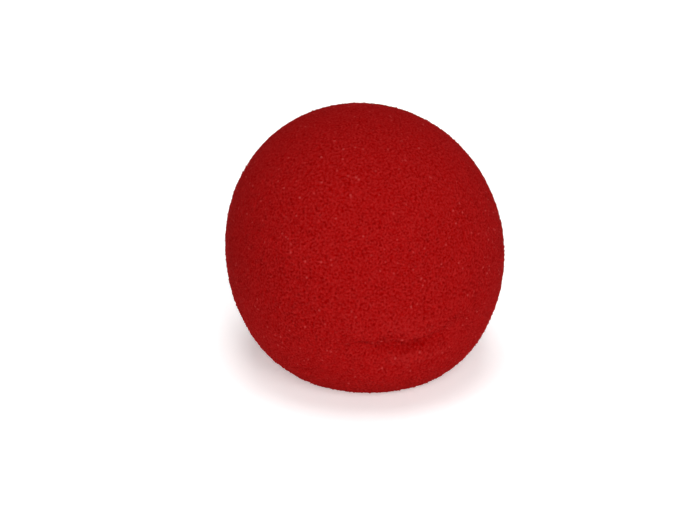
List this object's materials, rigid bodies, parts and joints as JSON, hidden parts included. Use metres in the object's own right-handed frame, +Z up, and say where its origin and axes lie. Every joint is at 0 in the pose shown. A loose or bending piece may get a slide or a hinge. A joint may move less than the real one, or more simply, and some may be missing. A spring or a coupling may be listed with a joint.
{
  "type": "sponge clown nose",
  "caption": "Red sponge foam ball worn over the nose, with a round pocket cut up into it from a flat rim that it stands on, and a soft fold low on its front.",
  "frame": {"origin": "under the middle of the ball, on the surface that the rim of the pocket stands on", "axes": "+Z up, out of the top of the ball; the pocket's mouth faces -Z, the fold faces -Y, and +X is to the right of someone who looks at the fold"},
  "size_m": [0.0487, 0.0498, 0.0462],
  "materials": {
    "red_foam": "matt red sponge foam with cells about 0.35 mm across, tiny dark pores and a few bright cell walls"
  },
  "bodies": {
    "root": {"foam_ball": "red_foam"}
  },
  "joints": []
}
